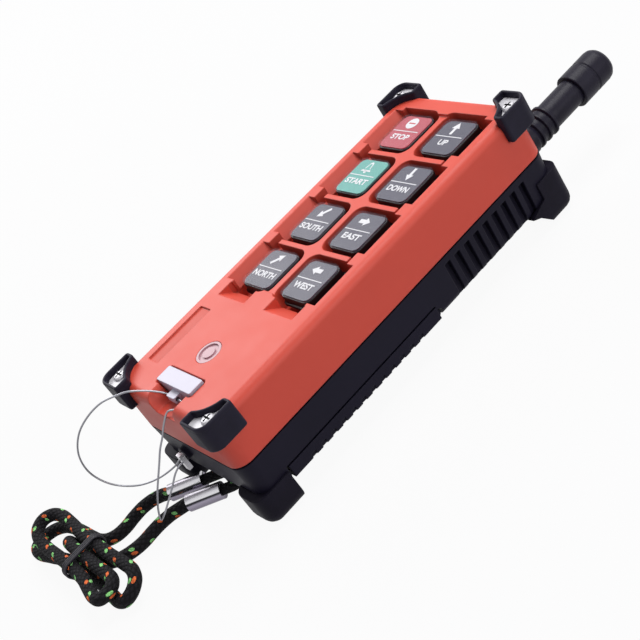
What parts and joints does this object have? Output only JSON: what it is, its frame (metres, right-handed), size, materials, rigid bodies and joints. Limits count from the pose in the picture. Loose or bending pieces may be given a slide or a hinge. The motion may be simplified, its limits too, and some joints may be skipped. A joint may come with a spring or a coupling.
{
  "type": "crane radio remote control",
  "caption": "Hand-held radio transmitter for a crane, with push keys, corner guards, a stub antenna, a tethered safety key and a tied-up neck lanyard.",
  "frame": {"origin": "middle of the handset's length and width, on the plane that its four rear feet stand on", "axes": "+X across the case, +Y from the lanyard end to the antenna end, +Z out of the key face"},
  "size_m": [0.0897, 0.2299, 0.0449],
  "materials": {
    "orange_case": "satin",
    "black_case": "matte",
    "black_rubber": "matte",
    "seal_rubber": "matte",
    "bright_steel": "polished",
    "board": "satin",
    "led_white": "gloss",
    "lens_clear": "clear",
    "radio_can": "satin",
    "brass_core": "satin",
    "cell_skin": "satin",
    "white_plastic": "satin",
    "rope_black": "braided",
    "cord_black": "braided",
    "key_black": "satin",
    "card_grey": "matte",
    "card_red": "matte",
    "card_teal": "matte",
    "cap_clear": "clear"
  },
  "bodies": {
    "handset": {"front_shell": "orange_case", "rear_shell": "black_case", "shell_gasket": "seal_rubber", "guard_lower_left": "black_rubber", "guard_lower_right": "black_rubber", "guard_upper_left": "black_rubber", "guard_upper_right": "black_rubber", "foot_lower_left": "black_rubber", "foot_lower_right": "black_rubber", "foot_upper_left": "black_rubber", "foot_upper_right": "black_rubber", "corner_plates": "bright_steel", "corner_screws": "bright_steel", "circuit_board": "board", "key_switches": "key_black", "status_led": "led_white", "led_lens": "lens_clear", "key_sensor": "key_black", "radio_module": "radio_can", "antenna_core": "brass_core", "antenna_sleeve": "black_rubber", "antenna_cap": "black_case", "case_screws": "bright_steel", "battery_cells": "cell_skin", "battery_contacts": "bright_steel", "tether_wire": "bright_steel", "tether_clip": "bright_steel", "lanyard_loop": "cord_black", "rope_ferrules": "bright_steel", "lanyard_rope": "rope_black", "rope_hank": "rope_black", "hank_tie": "seal_rubber"},
    "stop_key": {"stop_key_base": "key_black", "stop_key_card": "card_red", "stop_key_cap": "cap_clear"},
    "start_key": {"start_key_base": "key_black", "start_key_card": "card_teal", "start_key_cap": "cap_clear"},
    "south_key": {"south_key_base": "key_black", "south_key_card": "card_grey", "south_key_cap": "cap_clear"},
    "north_key": {"north_key_base": "key_black", "north_key_card": "card_grey", "north_key_cap": "cap_clear"},
    "up_key": {"up_key_base": "key_black", "up_key_card": "card_grey", "up_key_cap": "cap_clear"},
    "down_key": {"down_key_base": "key_black", "down_key_card": "card_grey", "down_key_cap": "cap_clear"},
    "east_key": {"east_key_base": "key_black", "east_key_card": "card_grey", "east_key_cap": "cap_clear"},
    "west_key": {"west_key_base": "key_black", "west_key_card": "card_grey", "west_key_cap": "cap_clear"},
    "safety_key": {"safety_key": "white_plastic", "safety_magnet": "bright_steel"},
    "battery_cover": {"battery_cover": "black_case"},
    "cover_screw": {"cover_screw": "bright_steel"}
  },
  "joints": [
    {"name": "stop_key_press", "type": "slide", "parent": "handset", "child": "stop_key", "axis": [0, 0, -1], "range_m": [0, 0.002], "stiffness_N_per_m": 500, "springref_m": -0.0012},
    {"name": "start_key_press", "type": "slide", "parent": "handset", "child": "start_key", "axis": [0, 0, -1], "range_m": [0, 0.002], "stiffness_N_per_m": 500, "springref_m": -0.0012},
    {"name": "south_key_press", "type": "slide", "parent": "handset", "child": "south_key", "axis": [0, 0, -1], "range_m": [0, 0.002], "stiffness_N_per_m": 500, "springref_m": -0.0012},
    {"name": "north_key_press", "type": "slide", "parent": "handset", "child": "north_key", "axis": [0, 0, -1], "range_m": [0, 0.002], "stiffness_N_per_m": 500, "springref_m": -0.0012},
    {"name": "up_key_press", "type": "slide", "parent": "handset", "child": "up_key", "axis": [0, 0, -1], "range_m": [0, 0.002], "stiffness_N_per_m": 500, "springref_m": -0.0012},
    {"name": "down_key_press", "type": "slide", "parent": "handset", "child": "down_key", "axis": [0, 0, -1], "range_m": [0, 0.002], "stiffness_N_per_m": 500, "springref_m": -0.0012},
    {"name": "east_key_press", "type": "slide", "parent": "handset", "child": "east_key", "axis": [0, 0, -1], "range_m": [0, 0.002], "stiffness_N_per_m": 500, "springref_m": -0.0012},
    {"name": "west_key_press", "type": "slide", "parent": "handset", "child": "west_key", "axis": [0, 0, -1], "range_m": [0, 0.002], "stiffness_N_per_m": 500, "springref_m": -0.0012},
    {"name": "safety_key_lift", "type": "slide", "parent": "handset", "child": "safety_key", "axis": [0, 0, 1], "range_m": [0, 0.007], "deforming": ["tether_wire"]},
    {"name": "battery_cover_hinge", "type": "hinge", "parent": "handset", "child": "battery_cover", "pos_m": [0, -0.011, 0.0089], "axis": [1, 0, 0], "range_deg": [0, 90]},
    {"name": "cover_screw_turn", "type": "hinge", "parent": "battery_cover", "child": "cover_screw", "pos_m": [0, -0.07225, 0.009], "axis": [0, 0, 1], "continuous": true}
  ]
}
